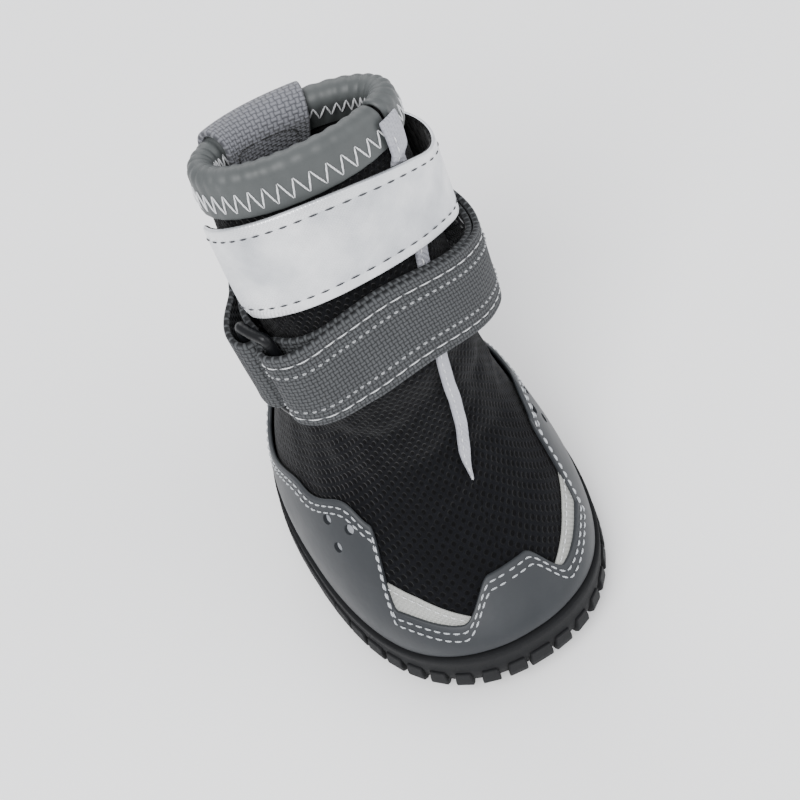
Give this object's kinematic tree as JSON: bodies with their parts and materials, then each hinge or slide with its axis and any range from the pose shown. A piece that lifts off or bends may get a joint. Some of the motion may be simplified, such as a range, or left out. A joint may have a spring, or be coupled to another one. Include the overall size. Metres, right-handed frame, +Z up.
{
  "type": "dog boot",
  "caption": "Hollow mesh dog boot with a lugged rubber cup sole, wavy guard, rolled collar, split front and two wrapped straps.",
  "frame": {"origin": "under the middle of the foot, on the ground plane, on the flat underside of a tread lug", "axes": "+Z up, -Y towards the toe, +X to the right when the toe faces the viewer"},
  "size_m": [0.061, 0.0886, 0.119],
  "materials": {
    "outsole": "matte moulded rubber",
    "insole": "matte foam and cloth",
    "upper": "fuzzy padded mesh",
    "inner_flap": "matte cloth",
    "guard": "satin synthetic leather",
    "collar_binding": "satin synthetic leather",
    "pull_tab": "ribbed webbing",
    "front_tape": "reflective tape",
    "upper_strap": "reflective tape",
    "lower_strap": "woven webbing",
    "strap_tab": "woven webbing",
    "ring": "semi-matte plastic"
  },
  "bodies": {
    "root": {"outsole": "outsole", "insole": "insole", "upper": "upper", "inner_flap": "inner_flap", "guard": "guard", "collar_binding": "collar_binding", "pull_tab": "pull_tab", "front_tape": "front_tape", "upper_strap": "upper_strap", "lower_strap": "lower_strap", "strap_tab": "strap_tab", "ring": "ring"}
  },
  "joints": []
}
